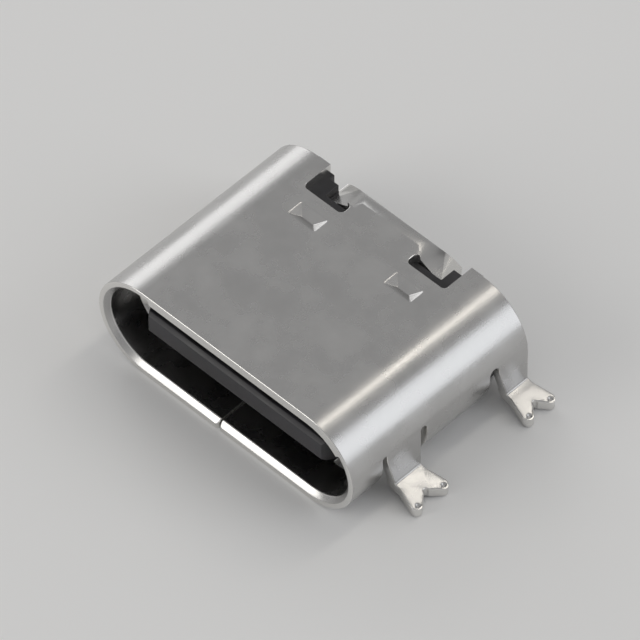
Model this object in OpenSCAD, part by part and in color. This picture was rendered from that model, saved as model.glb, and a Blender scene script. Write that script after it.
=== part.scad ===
// Four-legged sixteen-contact socket for a small reversible plug.
// X runs across the mouth, Y runs back into the depth from the mouth, Z is up.
// Z = 0 is the face of the board: the shell, the feet and the tails all come down to it.

/* [Shell] */
// Outside width of the shell
shell_w = 8.94; // [8.4:0.02:10.8]
// Outside height of the shell
shell_h = 3.16; // [2.9:0.02:3.8]
// Length of the shell from the mouth to the rear edge
shell_l = 6.40; // [5.4:0.05:8.0]
// Thickness of the stamped sheet
sheet = 0.30; // [0.24:0.01:0.36]
// Depth and width of the coined lead-in round the mouth
lead_in = 0.15; // [0.05:0.01:0.2]
// Angle above the widest point where the lead-in ends on the right
lead_end_right = 40; // [20:1:60]
// Distance from the left end of the flat lip to where the lead-in ends on the left
lead_end_left = 0.19; // [0:0.01:0.4]

/* [Seam] */
// Distance of the butt seam from the middle of the floor
seam_x = -0.25; // [-0.8:0.05:0.8]
// Width of the butt seam
seam_gap = 0.04; // [0.02:0.01:0.08]
// Corner radius of the sheet where the seam meets the mouth
seam_corner_r = 0.10; // [0.04:0.01:0.2]
// Distance from the mouth to the dovetail lock in the seam
lock_y = 2.60; // [1.5:0.1:3.0]
// Length of the dovetail lock along the seam
lock_l = 0.90; // [0.6:0.05:1.2]
// Reach of the dovetail lock across the seam
lock_reach = 0.55; // [0.3:0.05:0.8]
// Widening of the dovetail at each side of its tip
lock_flare = 0.12; // [0.05:0.01:0.2]

/* [Legs] */
// Distance from the mouth to the middle of the front legs
front_leg_y = 2.01; // [1.7:0.01:2.4]
// Width of a front leg
front_leg_w = 0.96; // [0.7:0.02:1.2]
// Width of a rear leg
rear_leg_w = 0.80; // [0.6:0.02:1.0]
// Height of the top of the slits beside the legs above the widest point
slit_rise = 0.24; // [0.1:0.02:0.4]
// Width of the slit in front of a front leg
front_slit = 0.15; // [0.08:0.01:0.3]
// Width of the slit behind a front leg
back_slit = 0.22; // [0.08:0.01:0.3]
// Width of the slit in front of a rear leg
rear_slit = 0.32; // [0.1:0.01:0.4]
// Widening of the root of a leg on its front side
leg_root = 0.26; // [0:0.01:0.35]
// Reach of the openings beside the legs into the flat floor
leg_window_in = 0.15; // [0.05:0.01:0.4]
// Length of a foot beyond its bend
foot_l = 0.94; // [0.7:0.02:1.1]
// Distance from the face of a leg to where its prongs begin to spread
foot_waist = 0.18; // [0.12:0.01:0.3]
// Slope of a foot down to the board
foot_slope = 12; // [4:1:20]
// Inside radius of the bend between a leg and its foot
foot_bend_r = 0.06; // [0.03:0.01:0.15]
// Radius of each prong tip of a foot
prong_r = 0.16; // [0.1:0.01:0.2]
// Spread of each prong tip beyond the side of the leg
prong_spread = 0.15; // [0:0.01:0.25]
// Depth of the notch between the prongs
fork_depth = 0.34; // [0.2:0.02:0.5]
// Radius of the root of the notch between the prongs
fork_r = 0.08; // [0.04:0.01:0.12]
// Radius of the dimple pressed into each prong
dimple_r = 0.08; // [0.04:0.01:0.1]
// Depth of the dimple pressed into each prong
dimple_depth = 0.06; // [0.02:0.01:0.1]

/* [Rear hood] */
// Distance from the rear edge to the front of the slots
slot_l = 1.00; // [0.8:0.02:1.2]
// Distance of the outer side of a slot from the middle
slot_x = 2.48; // [2.3:0.02:2.7]
// Width of a slot in front of a wing
slot_gap = 0.38; // [0.3:0.01:0.5]
// Corner radius of the slots
slot_r = 0.14; // [0.05:0.01:0.15]
// Half the width of the neck between the slots
neck_x = 1.14; // [0.9:0.02:1.4]
// Half the width of the hood across its wings
wing_x = 2.00; // [1.8:0.02:2.1]
// Half the width of the flat top between the wings
wing_fold_x = 0.98; // [0.8:0.02:1.1]
// Drop of a wing from its fold to its side
wing_drop = 0.50; // [0.3:0.02:0.7]
// Distance from the rear edge to where the top bends down
hood_bend_in = 0.40; // [0.3:0.01:0.55]
// Outside radius of the bend over the back
hood_bend_r = 0.55; // [0.4:0.01:0.6]
// Height of the lower edge of the hood above the board
hood_z = 0.95; // [0.7:0.05:1.4]
// Size of the cut corners at the lower edge of the hood
hood_corner = 0.30; // [0.1:0.02:0.5]

/* [Stops] */
// Distance of each pressed stop from the middle
stop_x = 1.68; // [1.4:0.02:1.9]
// Width of a pressed stop
stop_w = 0.92; // [0.7:0.02:1.1]
// Length of a pressed stop
stop_l = 0.52; // [0.4:0.02:0.6]
// Depth of a pressed stop
stop_depth = 0.17; // [0.1:0.01:0.22]
// Gap between a pressed stop and the front of the base
stop_gap = 0.06; // [0.02:0.01:0.15]
// Distance from the front of a slot to the front of the base
base_lap = 0.34; // [0.25:0.01:0.5]

/* [Tongue] */
// Distance from the mouth to the tip of the tongue
tongue_in = 0.35; // [0.2:0.05:0.8]
// Width of the tongue
tongue_w = 6.69; // [6.5:0.01:6.9]
// Thickness of the tongue
tongue_t = 0.70; // [0.6:0.01:0.84]
// Size across the tongue of its cut front corners
tongue_corner = 0.30; // [0.1:0.02:0.4]
// Size along the tongue of its cut front corners
tongue_corner_l = 0.48; // [0.2:0.02:0.6]
// Height of the bevel round the tip of the tongue
tongue_bevel = 0.08; // [0.03:0.01:0.12]
// Length of the bevel round the tip of the tongue
tongue_bevel_l = 0.12; // [0.03:0.01:0.2]
// Distance from the tip of the tongue to the latch notches
latch_in = 1.35; // [1.1:0.05:1.6]
// Length of a latch notch
latch_l = 1.05; // [0.8:0.05:1.3]
// Depth of a latch notch in the plate
latch_depth = 0.32; // [0.2:0.02:0.36]
// Width of the rim of the plate that stands clear of the plastic in a latch notch
latch_rim = 0.04; // [0.02:0.01:0.08]
// Thickness of the collar at the root of the tongue
collar_t = 1.26; // [1.1:0.02:1.5]
// Width of the collar at the root of the tongue
collar_w = 7.10; // [7.0:0.02:7.3]
// Length of the collar in front of the base
collar_l = 0.62; // [0.5:0.02:0.8]

/* [Base] */
// Distance of each rear cheek of the base from the outer side of its slot
cheek_in = 0.15; // [0.1:0.01:0.3]
// Clearance between the base and the hood
base_gap = 0.02; // [0.02:0.01:0.1]
// Height of the underside of the base above the board
base_z = 0.10; // [0.05:0.01:0.15]
// Width of the foot of the base between the rear legs
base_foot_w = 7.16; // [7.0:0.02:7.4]

/* [Inner mouldings] */
// Thickness of the outer moulding over the collar and at the sides of the base
skin_t = 0.10; // [0.08:0.01:0.14]
// Thickness of the outer moulding in front of the inner ones, in the collar and the base
skin_front = 0.14; // [0.1:0.01:0.2]
// Plastic of the inner mouldings beside the outermost contacts of the tongue
core_margin = 0.03; // [0.02:0.01:0.06]
// Distance from the cut corners of the tongue to the front of the inner mouldings
core_in = 0.12; // [0.05:0.01:0.2]
// Height of the upper moulding above the tongue in the base
core_rise = 0.30; // [0.2:0.01:0.34]

/* [Middle plate] */
// Thickness of the plate in the middle of the tongue
plate_t = 0.15; // [0.1:0.01:0.16]
// Distance from the tip of the tongue to the plate
plate_in = 0.35; // [0.2:0.05:0.5]
// Distance between the three windows that lock the plate in the plastic
window_pitch = 2.00; // [1.6:0.05:2.2]
// Width of a window
window_w = 0.90; // [0.6:0.05:1.2]
// Length of a window
window_l = 0.50; // [0.3:0.05:0.8]
// Distance from the collar to the middle of the windows
window_in = 0.70; // [0.4:0.05:0.9]

/* [Contacts] */
// Distance between neighbouring contact positions
pitch = 0.50; // [0.42:0.01:0.52]
// Width of a contact on the tongue
contact_w = 0.25; // [0.2:0.01:0.3]
// Thickness of the contact strip
contact_t = 0.15; // [0.12:0.01:0.18]
// Distance from the tip of the tongue to the long contacts
long_in = 0.55; // [0.45:0.05:0.7]
// Distance from the tip of the tongue to the short contacts
short_in = 0.95; // [0.75:0.05:1.1]
// Width of a solder tail
tail_w = 0.20; // [0.16:0.01:0.22]
// Length of the tails beyond the rear edge of the shell
tail_out = 0.50; // [0.3:0.05:0.8]
// Inside radius of the bends of a contact
contact_bend_r = 0.10; // [0.06:0.01:0.12]
// Gap between the drops of the two rows
row_gap = 0.26; // [0.2:0.01:0.3]
// Distance in front of the collar where the contacts start to spread
jog_in = 0.25; // [0.1:0.05:0.4]
// Shortest jog of a contact
jog_l = 0.60; // [0.4:0.05:0.8]
// Gap between neighbouring contacts where they jog
jog_clear = 0.04; // [0.03:0.005:0.05]
// Plastic behind the drops of the upper row
drop_cover = 0.08; // [0.04:0.01:0.12]

/* [Hidden] */
// Positions 1 to 12 from left to right, and the eight of them that each row fills
POSITIONS = [1, 4, 5, 6, 7, 8, 9, 12];
// Where the tail of each contact of a row stands, as a number of pitches from the middle
UPPER_TAILS = [-6.66, -5.06, -2.5, -0.5, 0.5, 2.5, 5.06, 6.66];
LOWER_TAILS = [-6.14, -4.54, -3.5, -1.5, 1.5, 3.5, 4.54, 6.14];
$fn = 64;
eps = 0.01;
steel = "silver";
black = "#1d1d20";
gold = "goldenrod";

// Shell
mid_z = shell_h / 2;
inner_w = shell_w - 2 * sheet;
inner_h = shell_h - 2 * sheet;
end_r = shell_h / 2;
end_x = shell_w / 2 - end_r;
wall_x = shell_w / 2;
slot_y = shell_l - slot_l;
wing_y = slot_y + slot_gap;
bend_y = shell_l - hood_bend_in;
rear_leg_y = shell_l - rear_leg_w / 2;
// Floor of the shell: it stops at the slit in front of the rear legs
floor_end = shell_l - rear_leg_w - leg_root - rear_slit;
// The sole of a foot slopes down so that its end comes to the board under the tips of the prongs
foot_outer_r = foot_bend_r + sheet;
foot_bend_z = foot_outer_r * cos(foot_slope) + foot_l * sin(foot_slope);
foot_reach = foot_bend_r + foot_l * cos(foot_slope) - foot_outer_r * sin(foot_slope);
// The blank of a leg is cut out of the side down to where the floor is flat
window_x = end_x - leg_window_in;

// Base and tongue
base_y = slot_y - base_lap;
collar_y = base_y - collar_l;
tip_y = tongue_in;
tongue_top = mid_z + tongue_t / 2;
tongue_bottom = mid_z - tongue_t / 2;
plate_top = mid_z + plate_t / 2;
plate_bottom = mid_z - plate_t / 2;
hood_y = bend_y + hood_bend_r;
hood_inner_y = hood_y - sheet;
cheek_x = slot_x - cheek_in;
rear_y = hood_inner_y - base_gap;
core_x = 5.5 * pitch + contact_w / 2 + core_margin;
core_block_x = collar_w / 2 - skin_t;
core_y = tip_y + tongue_corner + core_in;
core_block_y = collar_y + skin_front;
base_core_y = base_y + skin_front;
collar_top = mid_z + collar_t / 2;
collar_bottom = mid_z - collar_t / 2;

// Contacts: the upper row drops behind the lower row
contact_bend_out = contact_bend_r + contact_t;
upper_drop_y = rear_y - drop_cover - contact_t;
lower_drop_y = upper_drop_y - contact_t - row_gap;
split_y = (upper_drop_y + lower_drop_y + contact_t) / 2;
tail_end = shell_l + tail_out;
jog_start = collar_y - jog_in;
// A jog leans as far as the gap between neighbouring contacts lets it
jog_lean = acos((contact_w + jog_clear) / pitch);
plate_end = lower_drop_y - contact_bend_out;

// Extrudes an outline drawn in X and Z from y0 to y1
module along_y(y0, y1) {
    translate([0, y1, 0]) rotate([90, 0, 0]) linear_extrude(y1 - y0) children();
}

// Extrudes an outline drawn in Y and Z from x0 to x1
module along_x(x0, x1) {
    translate([x0, 0, 0]) rotate([90, 0, 90]) linear_extrude(x1 - x0) children();
}

// A box from its lowest to its highest corner
module block(low, high) {
    translate(low) cube(high - low);
}

// Draws its children at both sides
module both_sides() {
    children();
    mirror([1, 0, 0]) children();
}

// The flat-sided oval of the shell, drawn in X and Z
module oval(w, h) {
    translate([0, mid_z]) {
        square([w - h, h], center = true);
        for (side = [-1, 1]) translate([side * (w - h) / 2, 0]) circle(d = h);
    }
}

// A sector of a ring between two angles less than a half turn apart
module ring_sector(inner, outer, from, to) {
    reach = outer * 2;
    intersection() {
        difference() {
            circle(r = outer);
            circle(r = inner);
        }
        polygon([
            [0, 0],
            reach * [cos(from), sin(from)],
            reach * [cos((from + to) / 2), sin((from + to) / 2)],
            reach * [cos(to), sin(to)]
        ]);
    }
}

// ---------------------------------------------------------------- shell

// The conical lead-in that guides the plug into the mouth
module lead_in_cutter() {
    inner_r = inner_h / 2;
    both_sides() translate([end_x, 0, mid_z]) rotate([-90, 0, 0])
        translate([0, 0, -eps]) cylinder(h = lead_in + eps, r1 = inner_r + lead_in + eps, r2 = inner_r);
    along_x(-end_x, end_x) polygon([
        [-eps, mid_z - inner_r - lead_in - eps],
        [lead_in, mid_z - inner_r],
        [lead_in, mid_z + inner_r],
        [-eps, mid_z + inner_r + lead_in + eps]
    ]);
}

// The part of the lip over the mouth that keeps its square edge
module plain_lip() {
    reach = 2 * end_r;
    along_y(-1, 1) polygon([
        [end_x, mid_z],
        [end_x + reach * cos(lead_end_right), mid_z + reach * sin(lead_end_right)],
        [end_x + reach * cos(lead_end_right), mid_z + 2 * reach],
        [lead_end_left - end_x, mid_z + 2 * reach],
        [lead_end_left - end_x, mid_z]
    ]);
}

// The butt seam of the rolled sheet with its dovetail lock
module seam_cutter() {
    g = seam_gap;
    f = lock_flare;
    tip = lock_reach;
    end = lock_y + lock_l;
    // Room that the slanting sides of the dovetail need along the seam
    lock_g = g * norm([tip, f]) / tip + g * f / tip;
    translate([seam_x, 0, -1]) linear_extrude(1 + sheet + eps) {
        translate([-g / 2, -1]) square([g, 1 + lock_y + g]);
        translate([-g / 2, end - g]) square([g, floor_end - end + 2 * g]);
        difference() {
            polygon([[-g / 2, lock_y], [tip, lock_y - f], [tip, end + f], [-g / 2, end]]);
            polygon([
                [-g, lock_y + g], [tip - g, lock_y - f + lock_g],
                [tip - g, end + f - lock_g], [-g, end - g]
            ]);
        }
        difference() {
            translate([-seam_corner_r - g / 2, -1]) square([2 * seam_corner_r + g, 1 + seam_corner_r]);
            for (side = [-1, 1])
                translate([side * (seam_corner_r + g / 2), seam_corner_r]) circle(r = seam_corner_r);
        }
    }
}

// A slit that runs up from the window of a leg and ends round
module slit(y0, width) {
    along_x(end_x, wall_x + 1) {
        translate([y0, mid_z - eps]) square([width, slit_rise + eps - width / 2]);
        translate([y0 + width / 2, mid_z + slit_rise - width / 2]) circle(r = width / 2);
    }
}

// What is cut out of one side of the tube to free its two legs
module leg_windows() {
    front_edge = front_leg_y - front_leg_w / 2 - leg_root;
    back_edge = front_leg_y + front_leg_w / 2;
    block([window_x, front_edge - front_slit, -1], [wall_x + 1, back_edge + back_slit, mid_z]);
    slit(front_edge - front_slit, front_slit);
    slit(back_edge, back_slit);
    slit(floor_end, rear_slit);
}

// Where a line from point p touches the circle at c, on its left (side 1) or its right (side -1)
function tangent(p, c, r, side) =
    let (d = p - c, angle = atan2(d[1], d[0]) + side * acos(r / norm(d)))
    c + r * [cos(angle), sin(angle)];

// The fishtail outline of a foot, seen from above, from the face of the leg outwards
module fishtail(w) {
    tip = [foot_reach - prong_r, w / 2 + prong_spread - prong_r];
    root_x = foot_reach - fork_depth + fork_r;
    waist = [foot_waist, w / 2];
    difference() {
        for (side = [-1, 1]) scale([1, side]) {
            polygon([
                [-1, 0], [-1, w / 2], waist,
                tangent(waist, tip, prong_r, -1), tip, tangent([root_x, fork_r], tip, prong_r, 1),
                [root_x, fork_r], [root_x - fork_r, 0]
            ]);
            translate(tip) circle(r = prong_r);
        }
        translate([root_x, 0]) circle(r = fork_r);
    }
}

// The bend and the sloping sole of a foot, drawn in X and Z
module foot_profile() {
    translate([wall_x + foot_bend_r, foot_bend_z]) {
        ring_sector(foot_bend_r, foot_outer_r, 180, 270 - foot_slope);
        rotate(-foot_slope) translate([0, -foot_outer_r]) square([foot_l + sheet, sheet]);
    }
}

// A conical dimple in the top of a sole
module dimple() {
    translate([0, 0, -dimple_depth]) cylinder(h = 2 * dimple_depth, r1 = 0, r2 = 2 * dimple_r);
}

// One leg with its foot on the right side
module leg(y, w) {
    along_x(wall_x - sheet, wall_x) polygon([
        [y - w / 2, foot_bend_z], [y + w / 2, foot_bend_z],
        [y + w / 2, mid_z], [y - w / 2 - leg_root, mid_z]
    ]);
    difference() {
        intersection() {
            along_y(y - w, y + w) foot_profile();
            translate([wall_x, y, -1]) linear_extrude(3) fishtail(w);
        }
        translate([wall_x + foot_bend_r, y, foot_bend_z]) rotate([0, foot_slope, 0])
            for (side = [-1, 1])
                translate([foot_l - prong_r, side * (w / 2 + prong_spread - prong_r), -foot_bend_r]) dimple();
    }
}

// The form of the hood, inset by a distance from its outside: a roof with two sloping
// sides, rounded over into the back. It starts as far in front of the wings as it is inset.
module hood_form(inset, side_x) {
    lean = atan2(wing_drop, wing_x - wing_fold_x);
    fold_x = wing_fold_x - inset * tan(lean / 2);
    r = hood_bend_r - inset;
    top = shell_h - inset;
    side_z = top - (side_x - fold_x) * tan(lean);
    intersection() {
        along_y(wing_y - inset, hood_y - inset) polygon([
            [-side_x, -inset], [-side_x, side_z], [-fold_x, top],
            [fold_x, top], [side_x, side_z], [side_x, -inset]
        ]);
        along_x(-side_x, side_x) {
            translate([wing_y - inset, -inset]) square([bend_y - wing_y + inset, top + inset]);
            translate([bend_y - eps, -inset]) square([r + eps, top - r + inset]);
            intersection() {
                translate([bend_y, top - r]) circle(r = r);
                translate([bend_y - eps, top - r - eps]) square(r + 2 * eps);
            }
        }
    }
}

// The hood that closes the back, bent down behind the neck, with a wing on each side
module rear_hood() {
    difference() {
        hood_form(0, wing_x);
        hood_form(sheet, wing_x + 1);
        along_y(0, hood_y + 1) difference() {
            translate([-wing_x - 1, -1]) square([2 * wing_x + 2, hood_z + hood_corner + 1]);
            polygon([
                [-wing_x, hood_z + hood_corner + eps], [-wing_x, hood_z + hood_corner],
                [hood_corner - wing_x, hood_z], [wing_x - hood_corner, hood_z],
                [wing_x, hood_z + hood_corner], [wing_x, hood_z + hood_corner + eps]
            ]);
        }
    }
}

// The room that the hood takes from what stands under it, with a clearance all round
module hood_room(gap) {
    difference() {
        block([-wing_x - gap, wing_y - gap, mid_z], [wing_x + gap, hood_y + 1, shell_h + 1]);
        hood_form(sheet + gap, wing_x + 2 * gap);
    }
}

// The slots beside the neck and the opening that the hood leaves behind it, seen from above
module rear_slots() {
    far = shell_l + 1;
    for (side = [-1, 1]) scale([side, 1]) {
        translate([neck_x, slot_y + slot_r]) square([slot_x - neck_x, slot_gap - 2 * slot_r]);
        translate([neck_x + slot_r, slot_y]) square([slot_x - neck_x - 2 * slot_r, slot_gap]);
        for (x = [neck_x + slot_r, slot_x - slot_r]) translate([x, slot_y + slot_r]) circle(r = slot_r);
        translate([neck_x + slot_r, wing_y - slot_r]) circle(r = slot_r);
        translate([wing_x, slot_y + slot_r]) square([slot_x - wing_x, far - slot_y - slot_r]);
    }
    translate([-wing_x - eps, wing_y]) square([2 * (wing_x + eps), far - wing_y]);
}

// A hipped pit, or the hipped bump under it, pressed down from height z
module hipped(z, w, l, depth) {
    y = base_y - stop_gap - l / 2;
    intersection() {
        along_y(y - l / 2, y + l / 2) polygon([
            [stop_x - w / 2, z], [stop_x + w / 2, z],
            [stop_x + (w - l) / 2, z - depth], [stop_x - (w - l) / 2, z - depth]
        ]);
        along_x(stop_x - w / 2, stop_x + w / 2) polygon([[y - l / 2, z], [y + l / 2, z], [y, z - depth]]);
    }
}

module shell() {
    color(steel) difference() {
        union() {
            difference() {
                along_y(0, shell_l) difference() {
                    oval(shell_w, shell_h);
                    oval(inner_w, inner_h);
                }
                difference() {
                    lead_in_cutter();
                    plain_lip();
                }
                seam_cutter();
                both_sides() leg_windows();
                block([-wall_x - 1, floor_end, -1], [wall_x + 1, shell_l + 1, mid_z]);
                translate([0, 0, mid_z + tongue_t]) linear_extrude(shell_h) rear_slots();
            }
            both_sides() {
                leg(front_leg_y, front_leg_w);
                leg(rear_leg_y, rear_leg_w);
                hipped(shell_h - sheet, stop_w, stop_l, stop_depth);
            }
            rear_hood();
        }
        both_sides() hipped(shell_h, stop_w, stop_l, stop_depth);
    }
}

// ---------------------------------------------------------------- contacts

// The plan of a contact strip: straight, a slanting jog, straight again, at one width
module jog_plan(x0, x1, y0, y1, w) {
    jog_end = jog_start + max(jog_l, abs(x1 - x0) / tan(jog_lean));
    lean = atan2(x1 - x0, jog_end - jog_start);
    shift = w / 2 * tan(lean / 2);
    polygon([
        [x0 - w / 2, y0], [x0 - w / 2, jog_start + shift], [x1 - w / 2, jog_end + shift], [x1 - w / 2, y1],
        [x1 + w / 2, y1], [x1 + w / 2, jog_end - shift], [x0 + w / 2, jog_start - shift], [x0 + w / 2, y0]
    ]);
}

// The drop of a contact and its solder tail, drawn in Y and Z
module drop_profile(z, drop_y) {
    r = contact_bend_r;
    outer = contact_bend_out;
    // Bend from the strip down, the drop, the bend at the board, the tail
    translate([drop_y - r, z - r]) ring_sector(r, outer, 0, 90);
    translate([drop_y, outer]) square([contact_t, z - r - outer]);
    translate([drop_y + contact_t + r, outer]) ring_sector(r, outer, 180, 270);
    translate([drop_y + contact_t + r, 0]) square([tail_end - drop_y - contact_t - r, contact_t]);
}

// One contact: its strip lies on height z, drops at drop_y and ends in its tail
module contact(x0, x1, y0, z, drop_y) {
    translate([0, 0, z]) linear_extrude(contact_t) jog_plan(x0, x1, y0, drop_y - contact_bend_r, contact_w);
    along_x(x1 - tail_w / 2, x1 + tail_w / 2) drop_profile(z, drop_y);
}

// The long contacts are the outer pair and the pair at positions 4 and 9
function contact_front(position) =
    tip_y + (position == 1 || position == 4 || position == 9 || position == 12 ? long_in : short_in);

module upper_contact(i) {
    color(gold) contact(
        (POSITIONS[i] - 6.5) * pitch, UPPER_TAILS[i] * pitch,
        contact_front(POSITIONS[i]), tongue_top - contact_t, upper_drop_y
    );
}

module lower_contact(i) {
    color(gold) contact(
        (POSITIONS[i] - 6.5) * pitch, LOWER_TAILS[i] * pitch,
        contact_front(POSITIONS[i]), tongue_bottom, lower_drop_y
    );
}

module all_contacts() {
    for (i = [0:7]) {
        upper_contact(i);
        lower_contact(i);
    }
}

// ---------------------------------------------------------------- plate and plastic

// The latch notches in the sides of the tongue, drawn from above
module latch_notches(depth) {
    for (side = [-1, 1]) scale([side, 1])
        translate([tongue_w / 2 - depth, tip_y + latch_in]) square([depth + 1, latch_l]);
}

// The steel plate in the middle of the tongue that the plug's latches hold
module mid_plate() {
    front = tip_y + plate_in;
    color(steel) translate([0, 0, plate_bottom]) linear_extrude(plate_t) difference() {
        polygon([
            [-tongue_w / 2, front + tongue_corner], [tongue_corner - tongue_w / 2, front],
            [tongue_w / 2 - tongue_corner, front], [tongue_w / 2, front + tongue_corner],
            [tongue_w / 2, plate_end], [-tongue_w / 2, plate_end]
        ]);
        latch_notches(latch_depth);
        for (i = [-1:1])
            translate([i * window_pitch, collar_y - window_in]) square([window_w, window_l], center = true);
    }
}

// The moulding that carries the upper row, without its contacts
module upper_core() {
    block([-core_x, core_y, plate_top], [core_x, core_block_y + eps, tongue_top]);
    block([-core_block_x, core_block_y, plate_top], [core_block_x, base_core_y + eps, collar_top - skin_t]);
    block([-core_block_x, base_core_y, plate_top], [core_block_x, rear_y, tongue_top + core_rise]);
    block([-core_block_x, split_y, base_z], [core_block_x, rear_y, plate_top + eps]);
}

// The moulding that carries the lower row, without its contacts
module lower_core() {
    block([-core_x, core_y, tongue_bottom], [core_x, core_block_y + eps, plate_bottom]);
    block(
        [-core_block_x, core_block_y, collar_bottom + skin_t],
        [core_block_x, base_core_y + eps, plate_bottom]
    );
    block([-core_block_x, base_core_y, base_z], [core_block_x, split_y, plate_bottom]);
}

module upper_insulator() {
    color(black) difference() {
        upper_core();
        all_contacts();
    }
}

module lower_insulator() {
    color(black) difference() {
        lower_core();
        all_contacts();
    }
}

// The tongue with its cut corners and bevelled tip
module tongue_blank() {
    half = tongue_w / 2;
    end = base_y + eps;
    tip = tip_y + tongue_bevel_l;
    intersection() {
        translate([0, 0, tongue_bottom]) linear_extrude(tongue_t) polygon([
            [tongue_corner - half, tip_y], [half - tongue_corner, tip_y],
            [half, tip_y + tongue_corner_l], [half, end], [-half, end], [-half, tip_y + tongue_corner_l]
        ]);
        along_x(-half, half) polygon([
            [tip_y, tongue_bottom + tongue_bevel], [tip, tongue_bottom], [end, tongue_bottom],
            [end, tongue_top], [tip, tongue_top], [tip_y, tongue_top - tongue_bevel]
        ]);
    }
}

// The overmoulded housing: the tongue's skin, the collar and the base that fills the shell
module tongue_housing() {
    color(black) difference() {
        union() {
            tongue_blank();
            block([-collar_w / 2, collar_y, collar_bottom], [collar_w / 2, base_y + eps, collar_top]);
            along_y(base_y, rear_y) oval(inner_w, inner_h);
            difference() {
                along_y(rear_y - eps, shell_l) oval(inner_w, inner_h);
                block([-cheek_x, rear_y, -1], [cheek_x, shell_l + 1, shell_h + 1]);
                block([-wall_x, rear_y, -1], [wall_x, shell_l + 1, hood_z]);
            }
            block([-base_foot_w / 2, base_y, base_z], [base_foot_w / 2, rear_y, mid_z]);
        }
        hood_room(base_gap);
        upper_core();
        lower_core();
        block([-core_x, core_y, plate_bottom - eps], [core_x, core_block_y, plate_top + eps]);
        all_contacts();
        mid_plate();
        translate([0, 0, tongue_bottom - 1]) linear_extrude(tongue_t + 2)
            latch_notches(latch_depth + latch_rim);
    }
}

shell();
tongue_housing();
upper_insulator();
lower_insulator();
mid_plate();
for (i = [0:7]) {
    upper_contact(i);
    lower_contact(i);
}
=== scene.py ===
import math

import bmesh
import bpy
from bpy.props import FloatProperty, FloatVectorProperty, IntProperty, PointerProperty
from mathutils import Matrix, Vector
from mathutils.bvhtree import BVHTree


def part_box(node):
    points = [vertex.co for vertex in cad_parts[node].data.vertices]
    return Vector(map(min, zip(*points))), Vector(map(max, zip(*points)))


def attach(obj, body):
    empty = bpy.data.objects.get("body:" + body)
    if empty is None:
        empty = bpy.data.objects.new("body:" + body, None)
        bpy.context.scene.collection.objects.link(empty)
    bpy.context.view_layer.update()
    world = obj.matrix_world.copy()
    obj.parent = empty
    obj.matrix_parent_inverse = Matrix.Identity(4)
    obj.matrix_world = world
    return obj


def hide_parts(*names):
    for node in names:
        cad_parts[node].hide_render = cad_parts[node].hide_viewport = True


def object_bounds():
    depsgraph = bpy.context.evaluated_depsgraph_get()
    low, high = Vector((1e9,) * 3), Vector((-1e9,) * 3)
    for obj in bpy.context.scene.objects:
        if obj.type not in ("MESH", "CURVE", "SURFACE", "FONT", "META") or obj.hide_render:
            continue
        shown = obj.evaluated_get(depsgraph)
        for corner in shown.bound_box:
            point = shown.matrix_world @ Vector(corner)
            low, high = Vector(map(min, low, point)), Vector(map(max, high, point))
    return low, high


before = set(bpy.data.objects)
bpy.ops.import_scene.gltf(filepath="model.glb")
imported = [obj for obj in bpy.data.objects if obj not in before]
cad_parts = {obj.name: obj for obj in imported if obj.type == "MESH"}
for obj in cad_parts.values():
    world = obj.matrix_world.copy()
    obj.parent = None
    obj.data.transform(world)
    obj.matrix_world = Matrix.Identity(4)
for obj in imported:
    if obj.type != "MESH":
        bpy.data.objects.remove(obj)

bl_info = {
    "name": "Board socket finisher",
    "version": (1, 0, 0),
    "blender": (4, 5, 0),
    "location": "View3D > Sidebar > Socket",
    "description": "Finishes the shell, mouldings and contacts of a small board socket",
    "category": "Object",
}

MM = 0.001
BODY = "root"
CAD_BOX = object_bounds()
POSITIONS = (1, 4, 5, 6, 7, 8, 9, 12)

WELD = 0.0002 * MM
SMALL_STEP = 0.004 * MM
SMALL_FACE = 2.0 * MM * MM
ROUNDED_FROM = math.radians(28)
SHARP_FROM = math.radians(34)
ROUNDING_SEGMENTS = 3
PLATE_THICKNESS = 0.15 * MM
SOLID = 1.0
HOOD_FROM_Y = 5.75 * MM
HOOD_FROM_Z = 2.0 * MM
HOOD_HALF_WIDTH = 3.0 * MM
LIGHT_DISTANCE = 0.3
LIGHT_AIM = Vector((0.0, 3.5 * MM, 1.5 * MM))


# ---------------------------------------------------------------- settings


def length(name, description, default, top):
    """A length in metres that the sidebar shows in the scene's units."""
    return FloatProperty(
        name=name, description=description, default=default, min=0.0, max=top,
        unit="LENGTH", precision=6,
    )


def colour(name, description, default):
    """A colour without alpha."""
    return FloatVectorProperty(
        name=name, description=description, default=default, min=0.0, max=1.0,
        size=3, subtype="COLOR",
    )


def share(name, description, default, top=1.0):
    """A number from nothing to a top value."""
    return FloatProperty(
        name=name, description=description, default=default, min=0.0, max=top, subtype="FACTOR",
    )


class SOCKET_PG_sheet(bpy.types.PropertyGroup):
    """Sizes and colours of the stamped sheet."""

    thickness: length("Sheet thickness", "Thickness of the stamped sheet", 0.30 * MM, 1 * MM)
    edge: length("Edge rounding", "Rounding of the sheared edges", 0.028 * MM, 0.1 * MM)
    grain: length("Grain height", "Height of the satin grain", 0.0011 * MM, 0.01 * MM)
    face: colour("Sheet colour", "Colour of the plated faces", (0.53, 0.525, 0.52))
    # The sheared colour is bare steel, lightened so that it paints a highlight on the sheared edges; the
    # middle plate takes it as its own colour.
    sheared: colour("Sheared colour", "Colour of bare steel, lightened as a painted highlight on the sheared edges", (0.80, 0.79, 0.77))
    roughness: share("Roughness", "Roughness of the plated faces", 0.27)


class SOCKET_PG_plastic(bpy.types.PropertyGroup):
    """Sizes and colours of the black mouldings."""

    edge: length("Edge rounding", "Rounding of the moulded edges", 0.02 * MM, 0.1 * MM)
    grain: length("Grain height", "Height of the moulded texture", 0.0012 * MM, 0.01 * MM)
    housing: colour("Housing colour", "Colour of the tongue and base", (0.016, 0.015, 0.018))
    insulator: colour("Insulator colour", "Colour of the inner mouldings", (0.013, 0.013, 0.014))
    roughness: share("Roughness", "Roughness of the moulded faces", 0.38)


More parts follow.
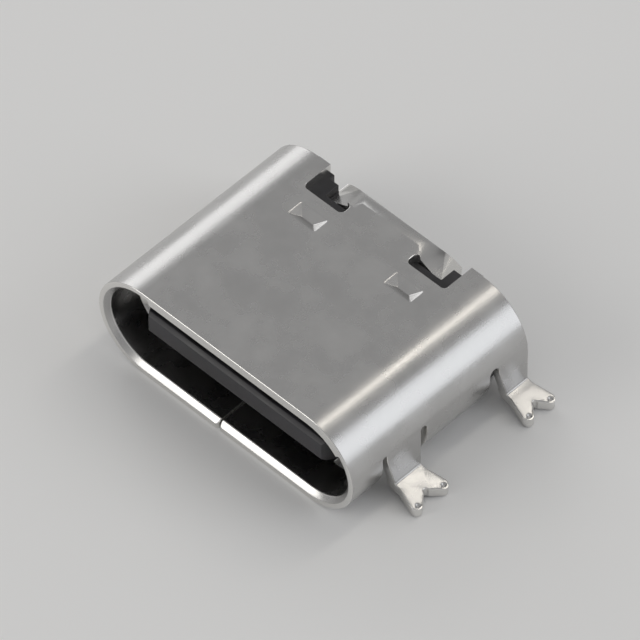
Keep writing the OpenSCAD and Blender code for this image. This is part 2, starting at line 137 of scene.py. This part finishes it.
class SOCKET_PG_contact(bpy.types.PropertyGroup):
    """Sizes and colours of the contacts."""

    edge: length("Edge rounding", "Rounding of the edges of a contact", 0.018 * MM, 0.05 * MM)
    coined: length("Coined length", "Length of the coined tip of a contact", 0.07 * MM, 0.2 * MM)
    gold: colour("Gold colour", "Colour of the gold plate on the tongue", (0.95, 0.70, 0.30))
    tail: colour("Tail colour", "Colour of the tinned tails", (0.72, 0.70, 0.66))
    roughness: share("Roughness", "Roughness of the plate", 0.24)


class SOCKET_PG_stage(bpy.types.PropertyGroup):
    """Camera, floor and lights."""

    azimuth: FloatProperty(
        name="Azimuth", description="Direction of the camera from the front, towards the right",
        default=math.radians(44.06), subtype="ANGLE",
    )
    elevation: FloatProperty(
        name="Elevation", description="Height of the camera above the floor",
        default=math.radians(49.95), subtype="ANGLE",
    )
    distance: length("Distance", "Distance from the camera to the socket", 300 * MM, 2.0)
    view_width: length("View width", "Width of the view at the socket", 16.2 * MM, 1.0)
    floor: colour("Floor colour", "Colour of the floor", (0.86, 0.86, 0.86))
    fill: share("Fill", "Brightness of the surroundings", 0.42, 4.0)
    power: FloatProperty(
        name="Light", description="Brightness of the soft lights", default=1.0, min=0.0, max=10.0,
    )


# ---------------------------------------------------------------- node helpers


class Wires:
    """Adds nodes to a tree and joins them, so that a tree reads from top to bottom."""

    def __init__(self, tree):
        self.tree = tree

    def add(self, kind, sockets=None, **settings):
        """A node with its settings, and its inputs set to values or joined to outputs."""
        made = self.tree.nodes.new(kind)
        for name, value in settings.items():
            setattr(made, name, value)
        for name, value in (sockets or {}).items():
            if isinstance(value, bpy.types.NodeSocket):
                self.tree.links.new(value, made.inputs[name])
            else:
                made.inputs[name].default_value = value
        return made

    def math(self, operation, a, b=0.0, clamp=False):
        """The output of a Math node."""
        made = self.add("ShaderNodeMath", {0: a, 1: b}, operation=operation, use_clamp=clamp)
        return made.outputs[0]

    def ramp(self, value, low, high, to_low=0.0, to_high=1.0):
        """A value taken smoothly from one range to another."""
        made = self.add(
            "ShaderNodeMapRange",
            {
                "Value": value, "From Min": low, "From Max": high,
                "To Min": to_low, "To Max": to_high,
            },
            interpolation_type="SMOOTHSTEP",
        )
        return made.outputs["Result"]

    def blend(self, factor, a, b):
        """A colour between two colours."""
        made = self.add("ShaderNodeMix", data_type="RGBA")
        for name, value in (("Factor_Float", factor), ("A_Color", a), ("B_Color", b)):
            socket = next(s for s in made.inputs if s.identifier == name)
            if isinstance(value, bpy.types.NodeSocket):
                self.tree.links.new(value, socket)
            else:
                socket.default_value = value
        return next(s for s in made.outputs if s.identifier == "Result_Color")

    def noise(self, vector, scale, detail=2.0, roughness=0.5):
        """The value of a noise texture."""
        sockets = {"Vector": vector, "Scale": scale, "Detail": detail, "Roughness": roughness}
        return self.add("ShaderNodeTexNoise", sockets).outputs["Fac"]


def group_tree(name, kind, inputs, outputs):
    """An empty node group with its sockets, and its two end nodes."""
    tree = bpy.data.node_groups.new(name, kind)
    for label, socket_type, default in inputs:
        socket = tree.interface.new_socket(label, in_out="INPUT", socket_type=socket_type)
        if default is not None:
            socket.default_value = default
    for label, socket_type in outputs:
        tree.interface.new_socket(label, in_out="OUTPUT", socket_type=socket_type)
    wires = Wires(tree)
    start = wires.add("NodeGroupInput")
    end = wires.add("NodeGroupOutput")
    return tree, wires, start.outputs, end.inputs


def rgba(value):
    """A colour with full alpha."""
    return (value[0], value[1], value[2], 1.0)


# ---------------------------------------------------------------- shared effects


def satin_grain():
    """Fine grain with faint streaks along the rolling direction, and broad mottling."""
    name = "Satin grain"
    if name in bpy.data.node_groups:
        return bpy.data.node_groups[name]
    tree, wires, given, put = group_tree(
        name, "ShaderNodeTree",
        [
            ("Place", "NodeSocketVector", None),
            ("Grain Scale", "NodeSocketFloat", 40000.0),
            ("Streak Scale", "NodeSocketFloat", 9000.0),
            ("Mottle Scale", "NodeSocketFloat", 1500.0),
        ],
        [("Height", "NodeSocketFloat"), ("Mottle", "NodeSocketFloat")],
    )
    fine = wires.noise(given["Place"], given["Grain Scale"], 3.0, 0.6)
    stretched = wires.add(
        "ShaderNodeMapping", {"Vector": given["Place"], "Scale": (1.0, 0.06, 1.0)}
    ).outputs[0]
    streak = wires.noise(stretched, given["Streak Scale"], 2.0, 0.55)
    mottle = wires.noise(given["Place"], given["Mottle Scale"], 3.0, 0.55)
    height = wires.math("ADD", fine, wires.math("MULTIPLY", streak, 0.9))
    height = wires.math("ADD", height, wires.math("MULTIPLY", mottle, 0.8))
    wires.tree.links.new(height, put["Height"])
    wires.tree.links.new(mottle, put["Mottle"])
    return tree


def edge_highlight_group():
    """A mask for the painted edge highlight: 1 on sheared edges, fading unevenly where grain breaks it
    up.
    """
    name = "Edge wear"
    if name in bpy.data.node_groups:
        return bpy.data.node_groups[name]
    tree, wires, given, put = group_tree(
        name, "ShaderNodeTree",
        [
            ("Edge", "NodeSocketFloat", 0.0),
            ("Breakup", "NodeSocketFloat", 0.5),
            ("Amount", "NodeSocketFloat", 0.5),
        ],
        [("Mask", "NodeSocketFloat")],
    )
    uneven = wires.math("MULTIPLY", wires.math("SUBTRACT", given["Breakup"], 0.5), given["Amount"])
    mask = wires.ramp(wires.math("ADD", given["Edge"], uneven), 0.15, 0.85)
    wires.tree.links.new(wires.math("MULTIPLY", mask, given["Edge"], clamp=True), put["Mask"])
    return tree


def new_material(name):
    """An empty material, its wires and its Principled shader."""
    made = bpy.data.materials.new(name)
    made.use_nodes = True
    made.node_tree.nodes.clear()
    wires = Wires(made.node_tree)
    shader = wires.add("ShaderNodeBsdfPrincipled")
    wires.add("ShaderNodeOutputMaterial", {"Surface": shader.outputs[0]})
    return made, wires, shader


def grained(wires, grain, streak, mottle):
    """The satin grain placed in a material on Object coordinates."""
    place = wires.add("ShaderNodeTexCoord").outputs["Object"]
    sockets = {"Place": place, "Grain Scale": grain, "Streak Scale": streak, "Mottle Scale": mottle}
    return wires.add("ShaderNodeGroup", sockets, node_tree=satin_grain()).outputs


def edge_highlight_mask(wires, breakup, amount):
    """The mask of a material's painted edge highlight, read from the piece's own attribute."""
    edge = wires.add("ShaderNodeAttribute", attribute_name="edge").outputs["Fac"]
    sockets = {"Edge": edge, "Breakup": breakup, "Amount": amount}
    return wires.add("ShaderNodeGroup", sockets, node_tree=edge_highlight_group()).outputs["Mask"]


def tinted(value, factor):
    """A colour with full alpha, made darker or lighter by a factor."""
    return rgba([min(1.0, c * factor) for c in value])


def bumped(wires, height, distance):
    """A normal from a height in a number of metres."""
    sockets = {"Height": height, "Distance": distance, "Strength": 1.0}
    return wires.add("ShaderNodeBump", sockets).outputs["Normal"]


def steel_material(name, face, settings):
    """Plated stamped sheet: satin faces, and sheared edges of bare steel lightened with a painted
    highlight.
    """
    made, wires, shader = new_material(name)
    grain = grained(wires, 42000.0, 16000.0, 1100.0)
    mask = edge_highlight_mask(wires, grain["Mottle"], 0.5)
    mottled = wires.blend(grain["Mottle"], tinted(face, 0.90), tinted(face, 1.10))
    # Sheared edges take the sheared colour: bare steel, lightened as a painted highlight.
    shade = wires.blend(mask, mottled, rgba(settings.sheared))
    smooth_to, rough_to = settings.roughness - 0.02, settings.roughness + 0.03
    rough = wires.ramp(grain["Mottle"], 0.3, 0.7, smooth_to, rough_to)
    rough = wires.math("SUBTRACT", rough, wires.math("MULTIPLY", mask, 0.04))
    wires.tree.links.new(shade, shader.inputs["Base Color"])
    wires.tree.links.new(rough, shader.inputs["Roughness"])
    wires.tree.links.new(bumped(wires, grain["Height"], settings.grain), shader.inputs["Normal"])
    shader.inputs["Metallic"].default_value = 1.0
    return made


def plastic_material(name, base, settings):
    """Black moulded plastic with flow marks, and edges lightened slightly with a painted sheen."""
    made, wires, shader = new_material(name)
    grain = grained(wires, 30000.0, 6000.0, 1600.0)
    mask = edge_highlight_mask(wires, grain["Mottle"], 0.8)
    flow = wires.ramp(grain["Mottle"], 0.35, 0.65)
    shade = wires.blend(flow, tinted(base, 0.8), tinted(base, 1.5))
    # Marked edges are lightened to paint a sheen on them.
    shade = wires.blend(mask, shade, tinted(base, 2.6))
    smooth_to, rough_to = settings.roughness - 0.05, settings.roughness + 0.07
    rough = wires.ramp(grain["Mottle"], 0.3, 0.7, smooth_to, rough_to)
    wires.tree.links.new(shade, shader.inputs["Base Color"])
    wires.tree.links.new(rough, shader.inputs["Roughness"])
    wires.tree.links.new(bumped(wires, grain["Height"], settings.grain), shader.inputs["Normal"])
    shader.inputs["IOR"].default_value = 1.55
    return made


def contact_material(settings, plated_to):
    """Copper strip with gold plate in front and tinned tails behind."""
    made, wires, shader = new_material("contact_plate")
    grain = grained(wires, 60000.0, 26000.0, 3000.0)
    place = wires.add("ShaderNodeTexCoord").outputs["Object"]
    along = wires.add("ShaderNodeSeparateXYZ", {0: place}).outputs["Y"]
    waver = wires.math("MULTIPLY", wires.math("SUBTRACT", grain["Mottle"], 0.5), 0.12 * MM)
    tinned = wires.ramp(wires.math("ADD", along, waver), plated_to, plated_to + 0.08 * MM)
    gold = wires.blend(grain["Mottle"], tinted(settings.gold, 0.9), rgba(settings.gold))
    shade = wires.blend(tinned, gold, rgba(settings.tail))
    rough = wires.math("ADD", settings.roughness, wires.math("MULTIPLY", tinned, 0.14))
    wires.tree.links.new(shade, shader.inputs["Base Color"])
    wires.tree.links.new(rough, shader.inputs["Roughness"])
    wires.tree.links.new(bumped(wires, grain["Height"], 0.0005 * MM), shader.inputs["Normal"])
    shader.inputs["Metallic"].default_value = 1.0
    return made


# ---------------------------------------------------------------- finished copies


def at_hood(edge):
    """Whether an edge of the shell lies at the rear hood, where the folds leave no room for rounding."""
    middle = (edge.verts[0].co + edge.verts[1].co) / 2
    return middle.y > HOOD_FROM_Y and middle.z > HOOD_FROM_Z and abs(middle.x) < HOOD_HALF_WIDTH


def turns_sharply(edge):
    """Whether an edge between two faces turns enough to be rounded."""
    return len(edge.link_faces) == 2 and edge.calc_face_angle(0.0) > ROUNDED_FROM


def merged(node):
    """The CAD node's surface, with its triangles joined into whole faces and its edges weighted."""
    bm = bmesh.new()
    bm.from_mesh(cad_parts[node].data)
    bmesh.ops.remove_doubles(bm, verts=bm.verts, dist=WELD)
    bmesh.ops.dissolve_limit(
        bm, angle_limit=math.radians(0.5), verts=bm.verts, edges=bm.edges,
        use_dissolve_boundaries=False,
    )
    bmesh.ops.remove_doubles(bm, verts=bm.verts, dist=SMALL_STEP)
    # The bevel breaks small many-sided faces, such as those of the feet
    small = [f for f in bm.faces if len(f.verts) > 4 and f.calc_area() < SMALL_FACE]
    bmesh.ops.triangulate(bm, faces=small)
    weights = bm.edges.layers.float.new("bevel_weight_edge")
    for edge in bm.edges:
        if turns_sharply(edge) and not (node == "shell" and at_hood(edge)):
            edge[weights] = 1.0
    return bm


def edge_attribute(mesh, solid, thickness):
    """Marks the cut faces of a sheet, which have more than its thickness behind them."""
    tree = BVHTree.FromBMesh(solid)
    marks = mesh.attributes.new("edge", "FLOAT", "FACE")
    for face in mesh.polygons:
        start = face.center - face.normal * 0.002 * MM
        hit = tree.ray_cast(start, -face.normal)
        depth = hit[3] if hit[3] is not None else 1.0
        marks.data[face.index].value = 1.0 if depth > thickness * 1.12 else 0.0


def bake(piece):
    """Keeps what the piece's modifiers make as its plain mesh."""
    depsgraph = bpy.context.evaluated_depsgraph_get()
    made = bpy.data.meshes.new_from_object(piece.evaluated_get(depsgraph))
    spent = piece.data
    piece.modifiers.clear()
    piece.data = made
    bpy.data.meshes.remove(spent)
    made.name = piece.name


def smooth(piece):
    """Smooth faces with level flats, and sharp edges where they turn by more than a little."""
    mesh = piece.data
    mesh.polygons.foreach_set("use_smooth", [True] * len(mesh.polygons))
    mesh.set_sharp_from_angle(angle=SHARP_FROM)
    level = piece.modifiers.new("Level faces", "WEIGHTED_NORMAL")
    level.keep_sharp = True
    bake(piece)


def finished_copy(node, name, edge, thickness, material, slot):
    """A copy of a CAD node with rounded edges and its own material, standing for the node."""
    bm = merged(node)
    mesh = bpy.data.meshes.new(name)
    bm.to_mesh(mesh)
    piece = bpy.data.objects.new(name, mesh)
    bpy.context.scene.collection.objects.link(piece)
    rounding = piece.modifiers.new("Rounded edges", "BEVEL")
    rounding.width = edge
    rounding.segments = ROUNDING_SEGMENTS
    rounding.limit_method = "WEIGHT"
    rounding.use_clamp_overlap = False
    rounding.loop_slide = False
    rounding.miter_outer = "MITER_ARC"
    bake(piece)
    edge_attribute(piece.data, bm, thickness)
    bm.free()
    smooth(piece)
    place(piece, material, slot, node)
    return piece


def place(piece, material, slot, node):
    """Gives a piece its material and puts it in the frame in the place of a CAD node."""
    piece.data.materials.clear()
    piece.data.materials.append(material)
    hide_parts(node)
    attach(piece, BODY)


# ---------------------------------------------------------------- contacts


STRIP_INPUTS = (
    "Start X", "End X", "Tip Y", "Jog Start", "Jog End", "Drop Y", "Tail End", "Strip Z", "Tail Z",
    "Width", "Tail Width", "Thickness", "Bend Radius", "Jog Radius", "Edge Radius", "Coined Length",
)


def strip_tree():
    """Geometry nodes that sweep a rounded strip along the bent path of one contact."""
    name = "Bent contact strip"
    if name in bpy.data.node_groups:
        return bpy.data.node_groups[name]
    tree, wires, given, put = group_tree(
        name, "GeometryNodeTree",
        [("Geometry", "NodeSocketGeometry", None)]
        + [(label, "NodeSocketFloat", 0.0) for label in STRIP_INPUTS]
        + [("Material", "NodeSocketMaterial", None)],
        [("Geometry", "NodeSocketGeometry")],
    )
    g = given
    tip_end = wires.math("ADD", g["Tip Y"], g["Coined Length"])
    tail_start = wires.math("SUBTRACT", g["Tail End"], g["Coined Length"])
    path = (
        (g["Start X"], g["Tip Y"], g["Strip Z"]),
        (g["Start X"], tip_end, g["Strip Z"]),
        (g["Start X"], g["Jog Start"], g["Strip Z"]),
        (g["End X"], g["Jog End"], g["Strip Z"]),
        (g["End X"], g["Drop Y"], g["Strip Z"]),
        (g["End X"], g["Drop Y"], g["Tail Z"]),
        (g["End X"], tail_start, g["Tail Z"]),
        (g["End X"], g["Tail End"], g["Tail Z"]),
    )
    index = wires.add("GeometryNodeInputIndex").outputs[0]
    spot = wires.add("GeometryNodeIndexSwitch", data_type="VECTOR")
    bend = wires.add("GeometryNodeIndexSwitch", data_type="FLOAT")
    steps = wires.add("GeometryNodeIndexSwitch", data_type="INT")
    for switch in (spot, bend, steps):
        wires.tree.links.new(index, switch.inputs["Index"])
        while len(switch.index_switch_items) < len(path):
            switch.index_switch_items.new()
    jog, drop = g["Jog Radius"], g["Bend Radius"]
    bends = (0.0, 0.0, jog, jog, drop, drop, 0.0, 0.0)
    for i, (point, radius) in enumerate(zip(path, bends)):
        joined = wires.add("ShaderNodeCombineXYZ", {0: point[0], 1: point[1], 2: point[2]})
        wires.tree.links.new(joined.outputs[0], spot.inputs[1 + i])
        steps.inputs[1 + i].default_value = 6 if radius else 0
        if radius:
            wires.tree.links.new(radius, bend.inputs[1 + i])
    line = wires.add("GeometryNodeMeshLine", {"Count": len(path)}).outputs[0]
    line = wires.add(
        "GeometryNodeSetPosition", {"Geometry": line, "Position": spot.outputs[0]}
    ).outputs[0]
    curve = wires.add("GeometryNodeMeshToCurve", {0: line}).outputs[0]
    curve = wires.add(
        "GeometryNodeFilletCurve",
        {
            "Curve": curve, "Count": steps.outputs[0], "Radius": bend.outputs[0],
            "Limit Radius": True,
        },
        mode="POLY",
    ).outputs[0]
    here = wires.add("GeometryNodeInputPosition").outputs[0]
    along = wires.add("ShaderNodeSeparateXYZ", {0: here})
    from_tip = wires.math("SUBTRACT", along.outputs["Y"], g["Tip Y"])
    from_end = wires.math("SUBTRACT", g["Tail End"], along.outputs["Y"])
    nearest = wires.math("MINIMUM", from_tip, from_end)
    share_in = wires.math("DIVIDE", nearest, g["Coined Length"], clamp=True)
    swell = wires.math("ADD", wires.math("MULTIPLY", share_in, 0.3), 0.7)
    curve = wires.add("GeometryNodeSetCurveRadius", {"Curve": curve, "Radius": swell}).outputs[0]
    section = wires.add(
        "GeometryNodeCurvePrimitiveQuadrilateral", {"Width": g["Width"], "Height": g["Thickness"]},
        mode="RECTANGLE",
    ).outputs[0]
    section = wires.add(
        "GeometryNodeFilletCurve", {"Curve": section, "Count": 3, "Radius": g["Edge Radius"]},
        mode="POLY",
    ).outputs[0]
    swept = wires.add(
        "GeometryNodeCurveToMesh", {"Curve": curve, "Profile Curve": section, "Fill Caps": True}
    )
    if "Scale" in swept.inputs:
        wires.tree.links.new(swell, swept.inputs["Scale"])
    mesh = wires.add(
        "GeometryNodeMergeByDistance", {"Geometry": swept.outputs[0], "Distance": 0.0008 * MM}
    )
    # The strip narrows to its tail where it drops
    spot_now = wires.add("GeometryNodeInputPosition").outputs[0]
    parts = wires.add("ShaderNodeSeparateXYZ", {0: spot_now}).outputs
    narrow_from = wires.math("SUBTRACT", g["Drop Y"], g["Width"])
    narrowing = wires.add(
        "ShaderNodeMapRange",
        {
            "Value": parts["Y"], "From Min": narrow_from, "From Max": g["Drop Y"],
            "To Min": 1.0, "To Max": wires.math("DIVIDE", g["Tail Width"], g["Width"]),
        },
        interpolation_type="SMOOTHSTEP",
    ).outputs["Result"]
    off = wires.math("SUBTRACT", parts["X"], g["End X"])
    slimmed = wires.math("ADD", g["End X"], wires.math("MULTIPLY", off, narrowing))
    behind = wires.math("GREATER_THAN", parts["Y"], narrow_from)
    moved = wires.add("ShaderNodeCombineXYZ", {0: slimmed, 1: parts["Y"], 2: parts["Z"]}).outputs[0]
    mesh = wires.add(
        "GeometryNodeSetPosition",
        {"Geometry": mesh.outputs[0], "Selection": behind, "Position": moved},
    ).outputs[0]
    solid = wires.add("GeometryNodeRealizeInstances", {0: mesh}).outputs[0]
    finished = wires.add(
        "GeometryNodeSetMaterial", {"Geometry": solid, "Material": g["Material"]}
    )
    wires.tree.links.new(finished.outputs[0], put["Geometry"])
    return tree


def strip_sizes(node, settings):
    """The path and section of a contact, measured on its CAD node."""
    spots = [v.co.copy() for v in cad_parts[node].data.vertices]
    low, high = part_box(node)
    near = 0.01 * MM
    tip = [p for p in spots if p.y < low.y + near]
    tail = [p for p in spots if p.y > high.y - near]
    thickness = max(p.z for p in tail) - min(p.z for p in tail)
    top = max(p.z for p in tip)
    level = [p for p in spots if p.z > top - near]
    turns = sorted({round(p.y / MM, 3) * MM for p in level})[1:-1]
    drop = max(p.y for p in spots if thickness * 2.5 < p.z < top - thickness)
    halves = len(turns) // 2
    return {
        "Start X": sum(p.x for p in tip) / len(tip),
        "End X": sum(p.x for p in tail) / len(tail),
        "Tip Y": low.y,
        "Jog Start": sum(turns[:halves]) / halves if halves else low.y + 2 * MM,
        "Jog End": sum(turns[halves:]) / len(turns[halves:]) if halves else low.y + 3 * MM,
        "Drop Y": drop - thickness / 2,
        "Tail End": high.y,
        "Strip Z": top - thickness / 2,
        "Tail Z": thickness / 2,
        "Width": max(p.x for p in tip) - min(p.x for p in tip),
        "Tail Width": max(p.x for p in tail) - min(p.x for p in tail),
        "Thickness": thickness,
        "Bend Radius": 0.10 * MM + thickness / 2,
        "Jog Radius": 0.20 * MM,
        "Edge Radius": settings.edge,
        "Coined Length": settings.coined,
    }


def contact_piece(node, name, settings, material):
    """One contact, swept by the geometry nodes and kept as a plain mesh."""
    tree = strip_tree()
    piece = bpy.data.objects.new(name, bpy.data.meshes.new(name))
    bpy.context.scene.collection.objects.link(piece)
    sweep = piece.modifiers.new("Strip", "NODES")
    sweep.node_group = tree
    sizes = strip_sizes(node, settings)
    for socket in tree.interface.items_tree:
        if socket.in_out == "INPUT" and socket.name in sizes:
            sweep[socket.identifier] = sizes[socket.name]
        elif socket.in_out == "INPUT" and socket.name == "Material":
            sweep[socket.identifier] = material
    bake(piece)
    if not piece.data.polygons:
        raise RuntimeError(f"the strip of {name} came out empty")
    smooth(piece)
    place(piece, material, "contact_gold", node)
    return piece


# ---------------------------------------------------------------- stage


def soft_light(name, direction, spread, radiance, tint):
    """A soft rectangular light in a direction from the socket, with its spread in degrees."""
    data = bpy.data.lights.new(name, "AREA")
    data.shape = "RECTANGLE"
    data.size, data.size_y = (
        2 * LIGHT_DISTANCE * math.tan(math.radians(angle) / 2) for angle in spread
    )
    data.energy = radiance * math.pi * data.size * data.size_y
    data.color = tint
    light = bpy.data.objects.new(name, data)
    aim = Vector(direction).normalized()
    light.location = aim * LIGHT_DISTANCE + LIGHT_AIM
    light.rotation_euler = aim.to_track_quat("Z", "Y").to_euler()
    bpy.context.scene.collection.objects.link(light)


def surroundings(fill):
    """Even soft light from all round."""
    world = bpy.data.worlds.new("Surroundings")
    world.use_nodes = True
    back = world.node_tree.nodes["Background"]
    back.inputs["Color"].default_value = (1.0, 1.0, 1.0, 1.0)
    back.inputs["Strength"].default_value = fill
    bpy.context.scene.world = world


def floor_plane(tint):
    """A wide plain floor under the socket."""
    bm = bmesh.new()
    bmesh.ops.create_circle(bm, cap_ends=True, segments=96, radius=1.2)
    mesh = bpy.data.meshes.new("floor")
    bm.to_mesh(mesh)
    bm.free()
    floor = bpy.data.objects.new("floor", mesh)
    bpy.context.scene.collection.objects.link(floor)
    made, _, shader = new_material("pale_floor")
    shader.inputs["Base Color"].default_value = rgba(tint)
    shader.inputs["Roughness"].default_value = 0.6
    shader.inputs["Specular IOR Level"].default_value = 0.2
    mesh.materials.append(made)


def camera(settings):
    """A long lens at the chosen angle, aimed at the middle of the socket."""
    low, high = CAD_BOX
    middle = (Vector(low) + Vector(high)) / 2
    a, e = settings.azimuth, settings.elevation
    back = Vector((math.sin(a) * math.cos(e), -math.cos(a) * math.cos(e), math.sin(e)))
    data = bpy.data.cameras.new("camera")
    data.sensor_width = 36.0
    data.lens = data.sensor_width * settings.distance / settings.view_width
    data.clip_start = 0.01
    data.clip_end = 20.0
    seen = bpy.data.objects.new("camera", data)
    seen.location = middle + back * settings.distance
    seen.rotation_euler = back.to_track_quat("Z", "Y").to_euler()
    bpy.context.scene.collection.objects.link(seen)
    bpy.context.scene.camera = seen


# ---------------------------------------------------------------- operators


class SOCKET_OT_shell(bpy.types.Operator):
    """Finish the rolled steel shell"""

    bl_idname = "socket.shell"
    bl_label = "Shell"

    def execute(self, context):
        s = context.scene.socket_sheet
        material = steel_material("satin_steel", s.face, s)
        finished_copy("shell", "rolled_shell", s.edge, s.thickness, material, "stamped_steel")
        return {"FINISHED"}


class SOCKET_OT_mouldings(bpy.types.Operator):
    """Finish the black tongue, base and inner mouldings"""

    bl_idname = "socket.mouldings"
    bl_label = "Mouldings"

    def execute(self, context):
        s = context.scene.socket_plastic
        outer = plastic_material("black_housing", s.housing, s)
        inner = plastic_material("black_insulator", s.insulator, s)
        finished_copy("tongue_housing", "tongue_and_base", s.edge, SOLID, outer, "black_housing")
        for row in ("upper", "lower"):
            finished_copy(
                f"{row}_insulator", f"{row}_moulding", s.edge, SOLID, inner, "black_insulator"
            )
        return {"FINISHED"}


class SOCKET_OT_plate(bpy.types.Operator):
    """Finish the steel plate inside the tongue"""

    bl_idname = "socket.plate"
    bl_label = "Middle plate"

    def execute(self, context):
        s = context.scene.socket_sheet
        material = steel_material("plate_steel", s.sheared, s)
        finished_copy(
            "mid_plate", "latch_plate", s.edge / 2, PLATE_THICKNESS, material, "plate_steel"
        )
        return {"FINISHED"}


class SOCKET_OT_contacts(bpy.types.Operator):
    """Sweep the sixteen contacts"""

    bl_idname = "socket.contacts"
    bl_label = "Contacts"

    def execute(self, context):
        s = context.scene.socket_contact
        plated_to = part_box("shell")[1].y - 1.2 * MM
        material = contact_material(s, plated_to)
        for row in ("upper", "lower"):
            for position in POSITIONS:
                contact_piece(f"{row}_contact_{position}", f"{row}_strip_{position}", s, material)
        return {"FINISHED"}


class SOCKET_OT_stage(bpy.types.Operator):
    """Set up the floor, the lights and the camera"""

    bl_idname = "socket.stage"
    bl_label = "Stage"

    def execute(self, context):
        s = context.scene.socket_stage
        surroundings(s.fill)
        floor_plane(s.floor)
        p = s.power
        soft_light("back_strip", (0.04, 0.46, 0.885), (7.0, 40.0), 3.0 * p, (1.0, 0.95, 0.86))
        soft_light("right_box", (0.80, 0.46, 0.40), (30.0, 40.0), 1.2 * p, (0.93, 0.96, 1.0))
        soft_light("left_box", (-0.86, 0.30, 0.36), (34.0, 34.0), 1.2 * p, (1.0, 1.0, 1.0))
        soft_light("front_box", (-0.45, -0.77, 0.46), (34.0, 30.0), 2.2 * p, (1.0, 0.98, 0.94))
        camera(s)
        context.scene.view_settings.view_transform = "Standard"
        return {"FINISHED"}


class SOCKET_PT_panel(bpy.types.Panel):
    """Sidebar panel that lists the settings and the steps"""

    bl_idname = "SOCKET_PT_panel"
    bl_label = "Board socket"
    bl_space_type = "VIEW_3D"
    bl_region_type = "UI"
    bl_category = "Socket"

    def draw(self, context):
        for name, step in STEPS:
            box = self.layout.box()
            settings = getattr(context.scene, name)
            for item in settings.bl_rna.properties:
                if item.identifier in type(settings).__annotations__:
                    box.prop(settings, item.identifier)
            box.operator(step.bl_idname)


STEPS = (
    ("socket_stage", SOCKET_OT_stage),
    ("socket_sheet", SOCKET_OT_shell),
    ("socket_sheet", SOCKET_OT_plate),
    ("socket_plastic", SOCKET_OT_mouldings),
    ("socket_contact", SOCKET_OT_contacts),
)
SETTINGS = {
    "socket_sheet": SOCKET_PG_sheet,
    "socket_plastic": SOCKET_PG_plastic,
    "socket_contact": SOCKET_PG_contact,
    "socket_stage": SOCKET_PG_stage,
}
CLASSES = (*SETTINGS.values(), *(step for _, step in STEPS), SOCKET_PT_panel)


def register():
    """Registers the classes and puts the settings on the scene."""
    for item in CLASSES:
        bpy.utils.register_class(item)
    for name, group in SETTINGS.items():
        setattr(bpy.types.Scene, name, PointerProperty(type=group))


def unregister():
    """Takes the settings off the scene and unregisters the classes."""
    for name in SETTINGS:
        delattr(bpy.types.Scene, name)
    for item in reversed(CLASSES):
        bpy.utils.unregister_class(item)


def main():
    """Runs every step in order."""
    register()
    bpy.ops.socket.stage()
    bpy.ops.socket.shell()
    bpy.ops.socket.plate()
    bpy.ops.socket.mouldings()
    bpy.ops.socket.contacts()


if __name__ == "__main__":
    main()
